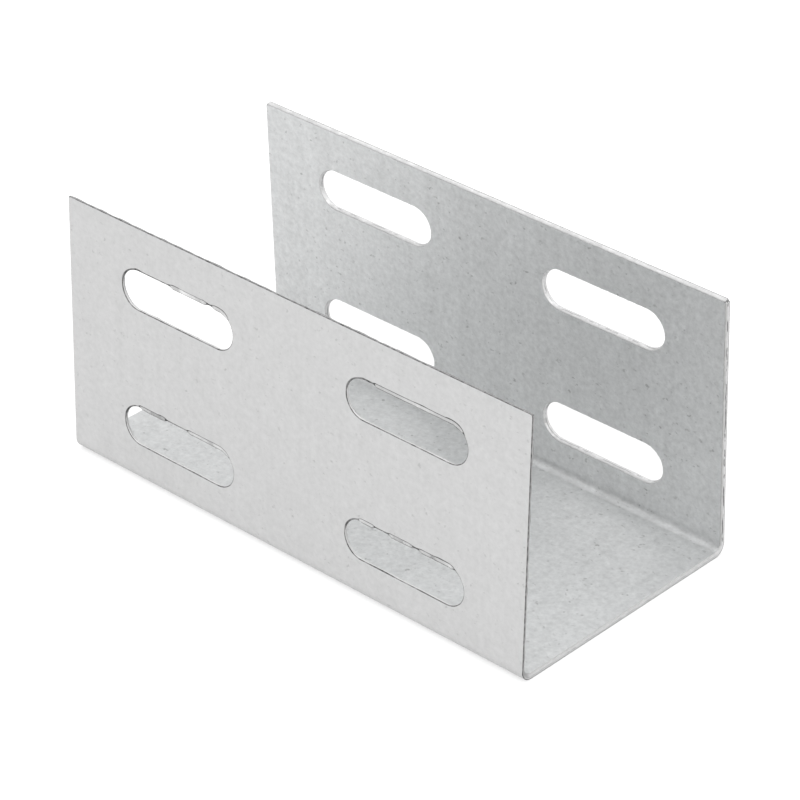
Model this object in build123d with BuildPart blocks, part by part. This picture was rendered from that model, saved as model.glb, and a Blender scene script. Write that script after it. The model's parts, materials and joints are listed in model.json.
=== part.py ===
"""A U bracket: a slotted channel folded from one piece of galvanised sheet steel.

X runs along the channel, Y across it and Z up. The origin is the middle of the
web's underside, so the bracket stands on its web with both flanges upright.
"""

import os
from math import cos, radians, sin

from build123d import *

# Driving dimensions, in millimetres and degrees.
sheet_thickness = 0.9
bracket_length = 100.0  # end to end, along the folds
outside_width = 49.0  # over the two folds, where the bracket is widest
flange_height = 47.7  # along the flange, from the web's underside to the free edge
inside_bend_radius = 1.2
toe_in = 1.8  # how far each fold is closed past a right angle

# Each flange has a block of obround slots, which all run along the bracket.
slot_length = 25.4  # end to end
slot_width = 7.3
slots_along = 2
slots_up = 2
slot_spacing_along = 50.0  # centre to centre
slot_spacing_up = 25.4  # centre to centre
lowest_slot_height = 10.9  # along the flange, from the web's underside to the lowest row's centres

# What follows from them.
outside_bend_radius = inside_bend_radius + sheet_thickness
bend_centre_y = outside_width / 2 - outside_bend_radius
flat_flange = flange_height - outside_bend_radius  # from the end of the bend to the free edge
slot_block_height = lowest_slot_height + (slots_up - 1) * slot_spacing_up / 2 - outside_bend_radius


def flange_plane(side):
    """The middle of a flange's sheet, seen from outside. Its y runs up the flange from the bend."""
    outward = Vector(0, side * cos(radians(toe_in)), sin(radians(toe_in)))
    bend_centre = Vector(0, side * bend_centre_y, outside_bend_radius)
    middle = bend_centre + outward * (outside_bend_radius - sheet_thickness / 2)
    return Plane(middle, x_dir=(-side, 0, 0), z_dir=outward)


with BuildPart() as u_bracket:
    # The section is drawn as half a web, a bend and a flange along the outer face. The other
    # half mirrors it, and the sheet's thickness is then laid on the inside of that line.
    with BuildSketch(Plane.YZ):
        with BuildLine():
            half_web = Line((0, 0), (bend_centre_y, 0))
            bend = JernArc(half_web @ 1, half_web % 1, outside_bend_radius, 90 + toe_in)
            Line(bend @ 1, bend @ 1 + (bend % 1) * flat_flange)
            mirror(about=Plane.YZ)
            offset(amount=sheet_thickness, side=Side.LEFT)
        make_face()
    extrude(amount=bracket_length / 2, both=True)

    # The slots are punched square to each flange.
    for side in (-1, 1):
        with BuildSketch(flange_plane(side)):
            with Locations((0, slot_block_height)):
                with GridLocations(slot_spacing_along, slot_spacing_up, slots_along, slots_up):
                    SlotOverall(slot_length, slot_width)
        extrude(amount=sheet_thickness, both=True, mode=Mode.SUBTRACT)

u_bracket.part.label = "u_bracket"

os.makedirs("parts", exist_ok=True)
export_step(u_bracket.part, "parts/u_bracket.step")
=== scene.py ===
import json
from math import asin, cos, pi, radians, sin

import bpy
from mathutils import Matrix, Vector


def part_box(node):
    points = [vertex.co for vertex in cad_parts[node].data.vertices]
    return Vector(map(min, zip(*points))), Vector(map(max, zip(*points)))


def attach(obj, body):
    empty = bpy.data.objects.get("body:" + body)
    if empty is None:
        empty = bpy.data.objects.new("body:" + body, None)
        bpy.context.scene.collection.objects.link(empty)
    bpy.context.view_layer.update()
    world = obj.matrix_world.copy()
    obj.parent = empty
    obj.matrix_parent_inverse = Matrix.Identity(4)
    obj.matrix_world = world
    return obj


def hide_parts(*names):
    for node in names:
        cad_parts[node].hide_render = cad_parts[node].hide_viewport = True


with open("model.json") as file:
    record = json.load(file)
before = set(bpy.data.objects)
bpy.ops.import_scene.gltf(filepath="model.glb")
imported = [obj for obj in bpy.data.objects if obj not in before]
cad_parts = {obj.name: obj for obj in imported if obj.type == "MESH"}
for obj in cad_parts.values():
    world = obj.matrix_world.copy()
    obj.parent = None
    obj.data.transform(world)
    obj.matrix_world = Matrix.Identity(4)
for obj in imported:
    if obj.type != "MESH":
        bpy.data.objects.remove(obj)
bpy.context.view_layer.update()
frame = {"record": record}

# The bracket: one strip of hot-dip galvanised sheet steel. Its outline and its slots are sheared
# and punched in the flat from the outer face, so each cut edge is rolled over on that face and
# torn back on the other. The strip is then folded twice into a channel.

lowest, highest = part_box("u_bracket")
mounts = {mount["name"]: mount for mount in frame["record"]["mounts"]}
slot_block = mounts["far_flange_slots"]
slot_sizes = slot_block["dims"]

millimetres = 1000  # the frame is in metres, and this section works in millimetres
thickness = mounts["web_inside"]["pos_m"][2] * millimetres
toe_in = asin(slot_block["axis"][2])
turn = pi / 2 + toe_in
inside_radius = 1.2
outer_radius = inside_radius + thickness
flange_foot = outer_radius * (1 + sin(toe_in))  # how high the outer bend ends
sizes = {
    "Length": (highest.x - lowest.x) * millimetres,
    "Thickness": thickness,
    "Outer Radius": outer_radius,
    "Turn": turn,
    "Web": (highest.y - lowest.y) * millimetres - 2 * outer_radius,  # flat part, from bend to bend
    "Bend": outer_radius * turn,
    "Flange": (highest.z * millimetres - flange_foot) / cos(toe_in),
    "Slot Length": slot_sizes["slot_length_mm"],
    "Slot Width": slot_sizes["hole_r_mm"] * 2,
    "Slot Spacing Along": slot_sizes["spacing_x_mm"],
    "Slot Spacing Up": slot_sizes["spacing_y_mm"],
    "Slot Block Middle": (slot_block["pos_m"][2] * millimetres - flange_foot) / cos(toe_in),
    "Rollover": 0.18,  # how far a slot's rim rolls back at the outer skin
    "Tear": 0.42,  # how far a near slot's wall tears back at the inner skin
    "Grip": 0.12,  # how far a slot's wall springs in round the punch
    "Ledge": 0.36,  # how far the ledge stands out, and the rim above it back
    "Seed": 23.0,
}


class Bench:
    """Where a node tree is put together. Inputs go in order or by name, and None leaves one alone."""

    def __init__(self, tree):
        self.tree = tree

    def give(self, socket, value):
        value = getattr(value, "socket", value)
        if isinstance(value, bpy.types.NodeSocket):
            self.tree.links.new(value, socket)
        else:
            socket.default_value = value

    def node(self, kind, *values, inputs={}, **settings):
        node = self.tree.nodes.new(kind)
        for name, value in settings.items():
            setattr(node, name, value)
        shown = [socket for socket in node.inputs if socket.enabled]
        for socket, value in zip(shown, values):
            if value is not None:
                self.give(socket, value)
        for name, value in inputs.items():
            self.give(next(socket for socket in shown if socket.name == name), value)
        return node

    def step(self, kind, *values, **settings):
        node = self.node(kind, *values, **settings)
        return Reading(self, next(socket for socket in node.outputs if socket.enabled))

    def vector(self, x=0.0, y=0.0, z=0.0):
        return self.step("ShaderNodeCombineXYZ", x, y, z)


class Reading:
    """What a node gives out. It adds and multiplies like a number."""

    def __init__(self, bench, socket):
        self.bench, self.socket = bench, socket

    def maths(self, operation, *others):
        return self.bench.step("ShaderNodeMath", self, *others, operation=operation)

    def __add__(self, other):
        return self.maths("ADD", other)

    def __sub__(self, other):
        return self.maths("SUBTRACT", other)

    def __rsub__(self, number):
        return self.bench.step("ShaderNodeMath", number, self, operation="SUBTRACT")

    def __mul__(self, other):
        return self.maths("MULTIPLY", other)

    def __truediv__(self, other):
        return self.maths("DIVIDE", other)

    def __neg__(self):
        return self.maths("MULTIPLY", -1.0)

    def size(self):
        return self.maths("ABSOLUTE")

    def at_least(self, other):
        return self.maths("MAXIMUM", other)

    def at_most(self, other):
        return self.maths("MINIMUM", other)

    def swing(self, amount):
        """Noise lies about 0.5. This is how far it swings from there, times an amount."""
        return (self - 0.5) * amount

    def ramp(self, start, end, low=0.0, high=1.0):
        """0 before start, 1 after end, and a smooth rise between them."""
        return self.bench.step(
            "ShaderNodeMapRange", self, start, end, low, high, interpolation_type="SMOOTHSTEP")

    def fall(self, start, end):
        """1 before start, 0 after end, and a smooth fall between them."""
        return self.ramp(start, end, low=1.0, high=0.0)

    def parts(self):
        return [Reading(self.bench, out) for out in self.bench.node("ShaderNodeSeparateXYZ", self).outputs]


folding = Bench(bpy.data.node_groups.new("folded slotted channel", "GeometryNodeTree"))
folding.tree.is_modifier = True
folding.tree.interface.new_socket(name="Geometry", in_out="OUTPUT", socket_type="NodeSocketGeometry")
for name in sizes:
    folding.tree.interface.new_socket(name=name, in_out="INPUT", socket_type="NodeSocketFloat")
size_in = folding.tree.nodes.new("NodeGroupInput")
step, vector = folding.step, folding.vector


def given(name):
    return Reading(folding, size_in.outputs[name])


def join(*pieces):
    node = folding.tree.nodes.new("GeometryNodeJoinGeometry")
    for piece in pieces:
        folding.tree.links.new(piece.socket, node.inputs[0])
    return Reading(folding, node.outputs[0])


def moved(piece, y):
    return step("GeometryNodeTransform", inputs={"Geometry": piece, "Translation": vector(y=y)})


def both_sides(piece, y):
    return join(moved(piece, y), moved(piece, -y))


def keep(piece, name, value, selection=True, **settings):
    return step("GeometryNodeStoreNamedAttribute", **settings,
                inputs={"Geometry": piece, "Name": name, "Value": value, "Selection": selection})


def kept(name, data_type="FLOAT"):
    return step("GeometryNodeInputNamedAttribute", name, data_type=data_type)


def on_rim():
    """The edges that have a face on one side only."""
    faces_beside = step("GeometryNodeInputMeshEdgeNeighbors")
    return step("FunctionNodeCompare", faces_beside, 1, data_type="INT", operation="EQUAL")


# The flat strip is five sheets side by side, one skin thick. x runs along it and y across it.
half_web = given("Web") / 2
fold_end = half_web + given("Bend")
half_strip = fold_end + given("Flange")
place = step("GeometryNodeInputPosition")


def sheet(width, rows, columns=200):
    return step("GeometryNodeMeshGrid", given("Length"), width, columns + 1, rows + 1)


flanges = both_sides(sheet(given("Flange"), rows=90), fold_end + given("Flange") / 2)
flange_outlines = step("GeometryNodeMeshToCurve", flanges, on_rim())

corner_points, outline_points = 16, 168
almost_half = 0.4999  # just under a half, so that the arcs at a slot's end don't share a point
slot_box = step("GeometryNodeCurvePrimitiveQuadrilateral", given("Slot Length"), given("Slot Width"))
slot_round = step("GeometryNodeFilletCurve", mode="POLY", inputs={
    "Curve": slot_box, "Count": corner_points,
    "Radius": given("Slot Width") * almost_half, "Limit Radius": True})
slot_outline = step("GeometryNodeResampleCurve", inputs={"Curve": slot_round, "Count": outline_points})
block = step("GeometryNodeMeshGrid", given("Slot Spacing Along"), given("Slot Spacing Up"), 2, 2)
centres = both_sides(block, fold_end + given("Slot Block Middle"))
slots = step("GeometryNodeInstanceOnPoints", inputs={"Points": centres, "Instance": slot_outline})
slots = step("GeometryNodeRealizeInstances", slots)

strip = join(
    step("GeometryNodeFillCurve", join(flange_outlines, slots)),
    both_sides(sheet(given("Bend"), rows=24), half_web + given("Bend") / 2),
    sheet(given("Web"), rows=4),
)
touching = 0.002
strip = step("GeometryNodeMergeByDistance", inputs={"Geometry": strip, "Distance": touching})
faces_down = step("GeometryNodeInputNormal").parts()[2].maths("LESS_THAN", 0.0)
strip = step("GeometryNodeFlipFaces", strip, faces_down)

# The side of each rim point that was cut away: towards its slot's centre line, or off the strip.
half_line = (given("Slot Length") - given("Slot Width")) / 2
centre_line = step("GeometryNodeMeshLine", mode="END_POINTS", inputs={
    "Count": 2, "Start Location": vector(-half_line), "Offset": vector(half_line)})
centre_lines = step("GeometryNodeInstanceOnPoints", inputs={"Points": centres, "Instance": centre_line})
centre_lines = step("GeometryNodeRealizeInstances", centre_lines)
nearest = folding.node("GeometryNodeProximity", centre_lines, target_element="EDGES")
to_slot = step("ShaderNodeVectorMath", nearest.outputs["Position"], place, operation="SUBTRACT")
to_slot = step("ShaderNodeVectorMath", to_slot, operation="NORMALIZE")
slack = 0.2  # a point this far outside a slot's true line still belongs to the slot
from_centre_line = Reading(folding, nearest.outputs["Distance"])
at_slot = from_centre_line.maths("LESS_THAN", given("Slot Width") / 2 + slack)
at_x, at_y, _ = place.parts()
close = 0.01
off_end = at_x.maths("SIGN") * (at_x.size() - given("Length") / 2).maths("GREATER_THAN", -close)
off_side = at_y.maths("SIGN") * (at_y.size() - half_strip).maths("GREATER_THAN", -close)
cut_side = step("ShaderNodeMix", data_type="VECTOR", inputs={
    "Factor": at_slot, "A": vector(off_end, off_side), "B": to_slot})
rim_share = step("GeometryNodeFieldOnDomain", on_rim(), domain="EDGE", data_type="FLOAT")
cut_side = step("ShaderNodeVectorMath", cut_side, operation="SCALE", inputs={
    "Scale": rim_share.maths("GREATER_THAN", 0.0)})
strip = keep(strip, "flat", place, data_type="FLOAT_VECTOR")
strip = keep(strip, "cut side", cut_side, data_type="FLOAT_VECTOR")
strip = keep(strip, "at slot", at_slot)
strip = keep(strip, "depth", 0.0)
strip = keep(strip, "cut", 0.0, domain="FACE")

# The outer skin stays, the inner one lies a thickness in from it, and the cut between them is
# drawn down from the outer skin's rim in rings.
rings = 12
crowding = 1.6  # above 1, the rings lie closer together near the outer skin
ring_in = folding.tree.nodes.new("GeometryNodeRepeatInput")
ring_out = folding.tree.nodes.new("GeometryNodeRepeatOutput")
ring_in.pair_with_output(ring_out)
ring_in.inputs["Iterations"].default_value = rings
folding.give(ring_in.inputs["Geometry"], step("GeometryNodeFlipFaces", strip))
drawn = folding.node("GeometryNodeExtrudeMesh", mode="EDGES", inputs={
    "Mesh": ring_in.outputs["Geometry"], "Selection": on_rim(), "Offset Scale": 0.0})
ring_depth = ((Reading(folding, ring_in.outputs["Iteration"]) + 1.0) / rings).maths("POWER", crowding)
ring = keep(drawn.outputs["Mesh"], "depth", ring_depth, drawn.outputs["Top"])
ring = keep(ring, "cut", 1.0, drawn.outputs["Side"], domain="FACE")
folding.give(ring_out.inputs["Geometry"], ring)
bracket = join(Reading(folding, ring_out.outputs["Geometry"]), keep(strip, "depth", 1.0))

# How far the cut stands back from its true line. It rolls over at the outer skin and tears back
# towards the inner one. Depths are shares of the thickness, 0 at the outer skin and 1 at the inner.
depth = kept("depth")
flat = kept("flat", "FLOAT_VECTOR")
flat_x, flat_y, _ = flat.parts()
side = kept("cut side", "FLOAT_VECTOR")
side_x, side_y, _ = side.parts()
at_slots = kept("at slot")
near_half = flat_y.maths("LESS_THAN", 0.0)


def grain(scale, seed, detail=2.0, down=1.0):
    spot = vector(flat_x, flat_y, depth * given("Thickness") * down)
    return step("ShaderNodeTexNoise", noise_dimensions="4D", inputs={
        "Vector": spot, "W": given("Seed") + seed, "Scale": scale, "Detail": detail})


# The rim rolls over: more at the slots, and most where the near flange's were struck hardest.
roll_depth = 0.15
curl = (1.0 - depth / roll_depth).at_least(0.0)
rolled = 1.0 - (1.0 - curl * curl).maths("SQRT")
struck_corner = (side_x * side_y).ramp(0.08, 0.4) * side_x.maths("GREATER_THAN", 0.0)
struck_side = grain(0.16, 134.0, down=0.0).ramp(0.5, 0.58) * side_y.ramp(0.5, 0.9)
struck = struck_corner.at_least(struck_side) * near_half * at_slots
rolled = rolled * given("Rollover") * (at_slots * 0.4 + 0.6 + struck * 0.9)

# The tear starts at an uneven depth, and goes back furthest on the near flange.
tear_start = grain(0.55, 1.0) * 0.7 + 0.05
torn = depth.ramp(tear_start, tear_start + 0.5)
rough = grain(1.6, 2.0, 3.0, 2.2).swing(0.22) * torn
sheared = 1.2 - flat_y.ramp(-fold_end, -half_web) * 0.55
torn_share = at_slots * (near_half * 0.35 + 0.65) + (1.0 - at_slots) * sheared
tear = torn * given("Tear") * torn_share

# On the near flange, the punch left a ragged ledge along the far side of each slot.
ledge_top, ledge_foot = 0.04, 0.2
far_side = side_y.ramp(0.55, 0.95) * side_x.fall(0.0, 0.3) * at_slots * near_half
overhung = grain(0.2, 3.0, 0.0).ramp(0.41, 0.48)
ragged = grain(0.9, 5.0, 3.0, 0.0).swing(0.5) + 1.0
step_down = ((depth - ledge_top) / (ledge_foot - ledge_top)).at_least(0.0).at_most(1.0)
above = (1.0 - step_down) * (overhung * 0.5 + 0.5)
below = step_down * overhung * ragged * (1.0 - torn)
ledge = (above - below) * far_side * given("Ledge")

# The free corners are nipped, the far flange's more than the near one's.
at_corner = (side_x * side_y).size().maths("GREATER_THAN", 0.9)
nipped = at_corner * (0.25 - near_half * 0.17)

cut_marks = {
    "torn": torn,
    "struck": struck,
    "far side": far_side,
    "ledge": overhung * far_side,
    "knot": overhung * (1.0 - overhung) * far_side * 4.0,
    "set back": rolled - at_slots * given("Grip") + tear + rough + ledge + nipped,
}
for name, value in cut_marks.items():
    bracket = keep(bracket, name, value)
deep_flat = vector(flat_x, flat_y, depth * given("Thickness"))
bracket = keep(bracket, "flat", deep_flat, data_type="FLOAT_VECTOR")
spot = step("ShaderNodeVectorMath", side, operation="SCALE", inputs={"Scale": -kept("set back")})
spot = step("ShaderNodeVectorMath", spot, flat, operation="ADD")
along, across, _ = spot.parts()

# The folds: straight to the bend, round it, and straight on up the flange.
inward = given("Outer Radius") - depth * given("Thickness")
reach = across.size()
angle = ((reach - half_web) / given("Outer Radius")).at_least(0.0).at_most(given("Turn"))
beyond = (reach - fold_end).at_least(0.0)
y = reach.at_most(half_web) + angle.maths("SINE") * inward + angle.maths("COSINE") * beyond
z = given("Outer Radius") - angle.maths("COSINE") * inward + angle.maths("SINE") * beyond
metres = 0.001
folded = vector(along * metres, y * across.maths("SIGN") * metres, z * metres)
bracket = step("GeometryNodeSetPosition", inputs={"Geometry": bracket, "Position": folded})
bracket = step("GeometryNodeMergeByDistance", inputs={"Geometry": bracket, "Distance": 0.001 * metres})

# The skins meet the cuts, and the flats meet the bends, at creases.
at_cut = (kept("cut") - 0.5).size().maths("LESS_THAN", 0.25)  # cut on one side, skin on the other
sharp = step("GeometryNodeInputMeshEdgeAngle").maths("GREATER_THAN", radians(40))
at_web = (flat_y.size() - half_web).size().maths("LESS_THAN", close)
at_flange = (flat_y.size() - fold_end).size().maths("LESS_THAN", close)
creased = at_cut.at_least(sharp).at_least(at_web).at_least(at_flange)
bracket = step("GeometryNodeSetShadeSmooth", domain="FACE", inputs={
    "Geometry": bracket, "Shade Smooth": True})
bracket = step("GeometryNodeSetShadeSmooth", domain="EDGE", inputs={
    "Geometry": bracket, "Selection": creased, "Shade Smooth": False})
bracket = step("GeometryNodeRealizeInstances", bracket)

# Galvanised steel: a dull, finely mottled zinc skin. The cut edges show the bare steel, burnished dark next
# to the outer skin, torn and lighter below it, with a dark burr at the inner skin. Painted shade deepens
# the dark lines on the cut, and painted light lifts the far flange's slot walls that face +x.
steel = bpy.data.materials.new("galvanised_steel")
steel.use_nodes = True
finish = Bench(steel.node_tree)
surface = steel.node_tree.nodes["Principled BSDF"]
metal_share = 0.8
zinc_tone = 0.625
steel_tone = 0.73
dullness = 0.46


def read(name):
    node = finish.node("ShaderNodeAttribute", attribute_name=name)
    return Reading(finish, node.outputs["Vector" if name in ("flat", "cut side") else "Fac"])


def speckle(scale, detail=2.0, stretch=(1.0, 1.0, 1.0), seed=0.0, roughness=0.5):
    spot = finish.step("ShaderNodeMapping", read("flat"), (seed, seed * 1.7, 0.0), (0.0, 0.0, 0.0), stretch)
    return finish.step("ShaderNodeTexNoise", inputs={
        "Vector": spot, "Scale": scale, "Detail": detail, "Roughness": roughness})


# Where a point lies on the bracket.
down = read("depth")  # 0 at the outer skin, 1 at the inner one
across_strip = read("flat").parts()[1]
cut_x, cut_y, _ = read("cut side").parts()
in_slot = read("at slot")
off_slot = 1.0 - in_slot
web_edge = sizes["Web"] / 2
flange_edge = web_edge + sizes["Bend"]
far_flange = across_strip.ramp(web_edge, flange_edge)
near_flange = across_strip.ramp(-web_edge, -flange_edge)
from_fold = (across_strip.size() - (web_edge + flange_edge) / 2).size()
inside_fold = down * from_fold.fall(0.2 * sizes["Bend"], 0.8 * sizes["Bend"])

# The zinc: a fine mottle, clouds, streaks across the strip and clusters of dark specks. The inner skin is
# lighter and shows them more, but painted shade darkens it in the folds and near the far flange's foot.
mottle = speckle(1.0, 4.0, roughness=0.66)
cloud = speckle(0.28, 3.0, seed=11.0)
streak = speckle(0.5, stretch=(1.0, 0.08, 1.0), seed=23.0)
clusters = speckle(0.22, seed=31.0).ramp(0.42, 0.62)
specks = speckle(1.0, stretch=(0.8, 1.0, 1.0), seed=37.0, roughness=0.6).ramp(0.62, 0.72)
specks = specks * (clusters * 0.75 + 0.25)
marks = mottle.swing(0.2) + cloud.swing(0.05) + streak.swing(0.04) - specks * 0.12
# Painted shade in the folds, patchy so that the bend's highlight breaks up.
painted_fold_shade = speckle(0.4, 3.0, seed=137.0).ramp(0.35, 0.65) * 0.05 + 0.06
# Painted shade on the far flange's inner skin, darkest near the fold at its foot.
foot_shade_height = 16.0
painted_foot_shade = far_flange * down * from_fold.fall(0.0, foot_shade_height) * 0.045
tone = marks * (down * 0.9 + 1.0) + down * 0.04 - inside_fold * painted_fold_shade - painted_foot_shade + zinc_tone
zinc = finish.step("ShaderNodeCombineColor", tone * (1.0 - down * 0.012), tone, tone * (down * 0.002 + 1.0))

# Dark lines on the cut, partly the dark burnished steel and partly painted shade: one along the rolled rim,
# or one above and one below the ledge.
chips = speckle(1.1, 3.0, seed=51.0)
patches = speckle(0.208, seed=95.5)
on_ledge = read("ledge")
line_change = patches.swing(in_slot * 0.17 + 0.08)
line_end = read("far side") * 0.07 + read("struck") * 0.08 + line_change - in_slot * 0.08 + 0.17
roll_line = down.fall(line_end, line_end + 0.05)
above_foot = down.fall(0.24, 0.3)
ledge_lines = down.fall(0.03, 0.05).at_least(down.ramp(0.16, 0.18) * above_foot)
ledge_lines = ledge_lines.at_least(patches.ramp(0.56, 0.6) * 0.3 * down.fall(0.2, 0.3))
lines = roll_line + (ledge_lines - roll_line) * on_ledge.ramp(0.4, 0.6)
lines = lines + read("knot") * 0.4 * above_foot

# Other dark marks on the cut, among them painted shade at the far flange's inner rim and towards its inner
# skin. The darkest of them shows at each point.
in_tear = read("torn")
tear_line = in_tear.ramp(0.0, 0.05) * in_tear.fall(0.15, 0.35)
tear_line = tear_line * speckle(0.35, 3.0, seed=61.0).ramp(0.44, 0.54)
at_flange_end = (near_flange + far_flange) * cut_x.size()
tear_line = tear_line * (in_slot * 0.55 + off_slot * (at_flange_end * 0.65 + 0.3))
grit = speckle(1.3, 3.0, seed=67.0, roughness=0.6).ramp(0.5, 0.64)
grit = grit * down.ramp(0.25, 0.4) * 0.25 * in_slot
# Painted light: far-flange slot walls that face +x are kept lighter, as if lit strongly from that side, by
# taking off painted shade.
right_walls_painted_light = cut_x.ramp(0.3, 0.9) * far_flange * in_slot
# The dark burr at the inner skin, with painted shade along the far flange's inner rim.
burr_and_rim_shade = speckle(0.6, 3.0, seed=83.0).ramp(0.35, 0.6) * 0.15 + far_flange * 0.55 - right_walls_painted_light * 0.35
burr_and_rim_shade = down.ramp(0.82, 0.94) * burr_and_rim_shade
dull_end = off_slot * (near_flange * (down.ramp(0.3, 0.5) * 0.2 + 0.3) + (1.0 - far_flange) * 0.15)
# Painted shade on the far flange's cut walls, deepening towards the inner skin.
painted_inner_shade = far_flange * down.ramp(0.3, 0.95) * (0.4 - right_walls_painted_light * 1.2)
corner = (cut_x * cut_y).size().ramp(0.2, 0.7) * off_slot * 0.75
worn = lines * (chips.swing(1.1) + 0.85)
for mark in (tear_line, grit, burr_and_rim_shade, dull_end, painted_inner_shade, corner):
    worn = worn.at_least(mark)
ledge_patches = speckle(0.13, seed=828.0)
dulled = ledge_patches.ramp(0.42, 0.58) * 0.2 + ledge_patches.ramp(0.34, 0.44) * 0.3 - 0.3
bare = steel_tone - (worn + on_ledge * dulled + mottle.swing(0.3)) * 0.66
bare_steel = finish.step("ShaderNodeCombineColor", bare, bare, bare)

cut = read("cut") * down.ramp(0.0, 0.015)
colour = finish.step("ShaderNodeMix", data_type="RGBA", inputs={"Factor": cut, "A": zinc, "B": bare_steel})
surface.inputs["Metallic"].default_value = metal_share
finish.give(surface.inputs["Base Color"], colour)
finish.give(surface.inputs["Roughness"], mottle.swing(0.25) + dullness + cut * 0.08 + inside_fold * 0.2)
bumps = mottle * 0.6 + speckle(3.0, seed=5.0) * 0.25 - specks * 0.4
relief = finish.step("ShaderNodeBump", inputs={"Height": bumps, "Strength": 0.3, "Distance": 0.00006})
finish.give(surface.inputs["Normal"], relief)

finished = step("GeometryNodeSetMaterial", inputs={"Geometry": bracket, "Material": steel})
group_out = folding.tree.nodes.new("NodeGroupOutput")
folding.give(group_out.inputs[0], finished)

blank = bpy.data.objects.new("blank", bpy.data.meshes.new("blank"))
bpy.context.scene.collection.objects.link(blank)
fold = blank.modifiers.new("fold", "NODES")
fold.node_group = folding.tree
for item in folding.tree.interface.items_tree:
    if item.in_out == "INPUT":
        fold[item.identifier] = float(sizes[item.name])
evaluated = blank.evaluated_get(bpy.context.evaluated_depsgraph_get())
shape = bpy.data.meshes.new_from_object(evaluated)
bpy.data.objects.remove(blank)
bracket_piece = bpy.data.objects.new("slotted_u_bracket", shape)
bpy.context.scene.collection.objects.link(bracket_piece)
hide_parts("u_bracket")
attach(bracket_piece, "root")

# The floor: a plain table top, which keeps the bracket's shadow. Its glow, which makes it look
# white, shows only to the camera and in reflections.
half_floor = 3.0
floor_corners = [(x * half_floor, y * half_floor, 0) for x, y in ((-1, -1), (1, -1), (1, 1), (-1, 1))]
floor_mesh = bpy.data.meshes.new("floor")
floor_mesh.from_pydata(floor_corners, [], [(0, 1, 2, 3)])
floor = bpy.data.objects.new("floor", floor_mesh)
bpy.context.scene.collection.objects.link(floor)
white = bpy.data.materials.new("white_floor")
white.use_nodes = True
paint = Bench(white.node_tree)
board = white.node_tree.nodes["Principled BSDF"]
board.inputs["Base Color"].default_value = (0.5, 0.5, 0.5, 1)
board.inputs["Roughness"].default_value = 0.9
board.inputs["Emission Color"].default_value = (1, 1, 1, 1)
rays = paint.node("ShaderNodeLightPath").outputs
from_camera = Reading(paint, rays["Is Camera Ray"])
seen = from_camera.at_least(rays["Is Glossy Ray"]).at_least(rays["Is Transmission Ray"])
seen_glow, camera_glow = 0.36, 0.15
paint.give(board.inputs["Emission Strength"], seen * seen_glow + from_camera * camera_glow)
floor_mesh.materials.append(white)

# The room: a light tent of white cloth all round, brightest overhead and a little to the front.
brightest_way = (0.1, -0.47, 0.93)
level_glow = 0.76
room = bpy.data.worlds.new("room")
bpy.context.scene.world = room
room.use_nodes = True
tent = Bench(room.node_tree)
facing = tent.node("ShaderNodeTexCoord").outputs["Generated"]
brighter = tent.node("ShaderNodeVectorMath", facing, brightest_way, operation="DOT_PRODUCT")
glow = (Reading(tent, brighter.outputs["Value"]) + level_glow).at_least(0.0)
cloth = room.node_tree.nodes["Background"]
cloth.inputs["Color"].default_value = (1, 1, 1, 1)
tent.give(cloth.inputs["Strength"], glow)

# The camera: a long lens that looks down on the bracket's near corner, from the front and the right.
heading, tilt, lean = radians(43.194), radians(31.495), radians(-0.354)
looks_at = Vector((0.0017426, 0.0, 0.0199625))
distance = 0.599939
away = Vector((sin(heading) * cos(tilt), -cos(heading) * cos(tilt), sin(tilt)))
level = Vector((cos(heading), sin(heading), 0))
upright = away.cross(level)
right = cos(lean) * level + sin(lean) * upright
top = cos(lean) * upright - sin(lean) * level
lens = bpy.data.cameras.new("camera")
lens.sensor_width = 36
lens.lens = 167.062
lens.clip_start = 0.01
camera = bpy.data.objects.new("camera", lens)
camera.location = looks_at + away * distance
camera.rotation_euler = Matrix((right, top, away)).transposed().to_euler()
bpy.context.scene.collection.objects.link(camera)
bpy.context.scene.camera = camera
bpy.context.scene.view_settings.view_transform = "Standard"
